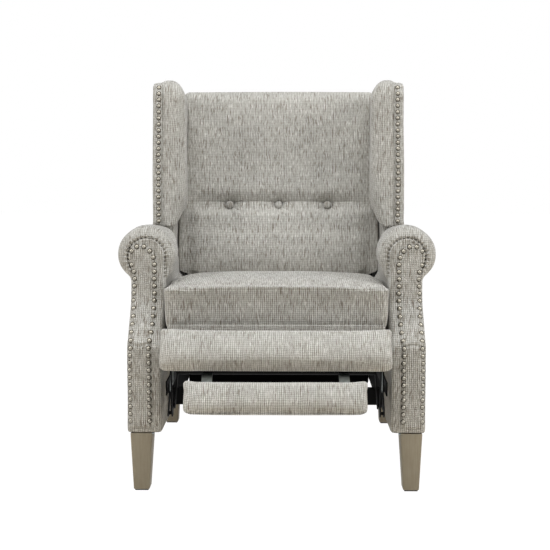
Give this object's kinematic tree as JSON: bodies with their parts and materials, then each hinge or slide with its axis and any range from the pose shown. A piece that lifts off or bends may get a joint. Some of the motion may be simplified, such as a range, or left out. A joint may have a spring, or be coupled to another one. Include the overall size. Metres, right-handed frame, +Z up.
{
  "type": "pushback recliner",
  "caption": "Wingback pushback recliner with rolled arms, tufted back, crowned seat cushion, a two-pad footrest on a bar linkage and tapered legs.",
  "frame": {"origin": "middle of the chair's box on the floor, footrest half open and back upright", "axes": "+Z up, the front faces -Y, +X to the right as seen from the front"},
  "size_m": [0.77, 0.9714, 1.007],
  "materials": {
    "tweed": "heathered grey tweed weave",
    "tweed_over_wood": "wood rail under grey tweed",
    "washed_wood": "greige washed hardwood, satin",
    "frame_wood": "bare planed softwood",
    "plywood": "bare plywood",
    "black_steel": "black painted steel",
    "zinc_steel": "zinc plated steel",
    "spring_steel": "oiled spring steel",
    "deck_felt": "black needled felt",
    "glide_plastic": "matt black"
  },
  "bodies": {
    "base": {"arm_left": "tweed", "arm_right": "tweed", "arm_facings": "tweed", "front_leg_left": "washed_wood", "front_leg_right": "washed_wood", "rear_leg_left": "washed_wood", "rear_leg_right": "washed_wood", "leg_plates": "zinc_steel", "leg_glides": "glide_plastic", "front_rail": "black_steel", "rear_rail": "tweed_over_wood", "base_rails": "black_steel", "base_hinges": "black_steel", "back_hinge_pins": "zinc_steel"},
    "front_swing": {"front_swing_links": "zinc_steel", "front_swing_tube": "black_steel"},
    "rear_swing": {"rear_swing_links": "zinc_steel", "rear_swing_tube": "black_steel"},
    "seat": {"seat_plate_left": "black_steel", "seat_plate_right": "black_steel", "seat_side_rails": "frame_wood", "seat_front_rail": "frame_wood", "seat_rear_rail": "frame_wood", "seat_ledge": "plywood", "seat_springs": "spring_steel", "seat_deck_pad": "deck_felt", "seat_cushion": "tweed"},
    "drive_link": {"drive_link_left": "black_steel", "drive_link_right": "black_steel"},
    "guide_link": {"guide_link_left": "black_steel", "guide_link_right": "black_steel", "guide_cross_tube": "black_steel"},
    "front_link": {"front_link_left": "black_steel", "front_link_right": "black_steel"},
    "stay": {"stays": "zinc_steel"},
    "footrest": {"main_pad": "tweed", "lower_pad": "tweed", "main_pad_board": "plywood", "lower_pad_board": "plywood", "pad_straps": "zinc_steel", "footrest_brackets": "black_steel"},
    "back": {"back_posts": "frame_wood", "back_top_rail": "frame_wood", "back_lumbar_rail": "frame_wood", "back_bottom_rail": "frame_wood", "back_springs": "spring_steel", "back_hinges": "black_steel", "back_cushion": "tweed", "back_buttons": "tweed", "wing_left": "tweed", "wing_right": "tweed", "wing_facings": "tweed", "back_panel": "tweed"}
  },
  "joints": [
    {"name": "back_recline", "type": "hinge", "parent": "base", "child": "back", "pos_m": [0, 0.24889, 0.44], "axis": [-1, 0, 0], "range_deg": [0, 32]},
    {"name": "front_swing", "type": "hinge", "parent": "base", "child": "front_swing", "pos_m": [0, -0.14611, 0.232], "axis": [-1, 0, 0], "range_deg": [-32.02, 0.02]},
    {"name": "seat_glide", "type": "hinge", "parent": "front_swing", "child": "seat", "pos_m": [0, -0.1213, 0.31851], "axis": [-1, 0, 0], "range_deg": [-0.02, 32.02]},
    {"name": "rear_swing", "type": "hinge", "parent": "base", "child": "rear_swing", "pos_m": [0, 0.12389, 0.232], "axis": [-1, 0, 0], "range_deg": [-32.02, 0.02]},
    {"name": "footrest_fold", "type": "hinge", "parent": "seat", "child": "drive_link", "pos_m": [0, -0.24141, 0.3079], "axis": [-1, 0, 0], "range_deg": [-27.1, 29.8]},
    {"name": "guide_turn", "type": "hinge", "parent": "seat", "child": "guide_link", "pos_m": [0, -0.20091, 0.369], "axis": [-1, 0, 0], "range_deg": [-21.65, 23.8]},
    {"name": "front_link_turn", "type": "hinge", "parent": "drive_link", "child": "front_link", "pos_m": [0, -0.31121, 0.1949], "axis": [-1, 0, 0], "range_deg": [-55, 50.02]},
    {"name": "stay_turn", "type": "hinge", "parent": "drive_link", "child": "stay", "pos_m": [0, -0.29401, 0.2513], "axis": [-1, 0, 0], "range_deg": [-58.66, 53.35]},
    {"name": "footrest_turn", "type": "hinge", "parent": "front_link", "child": "footrest", "pos_m": [0, -0.33431, 0.3217], "axis": [-1, 0, 0], "range_deg": [-60.22, 66.22]}
  ],
  "couplings": [
    {"joint": "front_swing", "follows": "back_recline", "ratio": -1},
    {"joint": "seat_glide", "follows": "back_recline", "ratio": 1},
    {"joint": "rear_swing", "follows": "back_recline", "ratio": -1},
    {"joint": "guide_turn", "follows": "footrest_fold", "ratio": 0.79815},
    {"joint": "front_link_turn", "follows": "footrest_fold", "ratio": -1.845},
    {"joint": "stay_turn", "follows": "footrest_fold", "ratio": -1.9679},
    {"joint": "footrest_turn", "follows": "footrest_fold", "ratio": 2.2214}
  ]
}
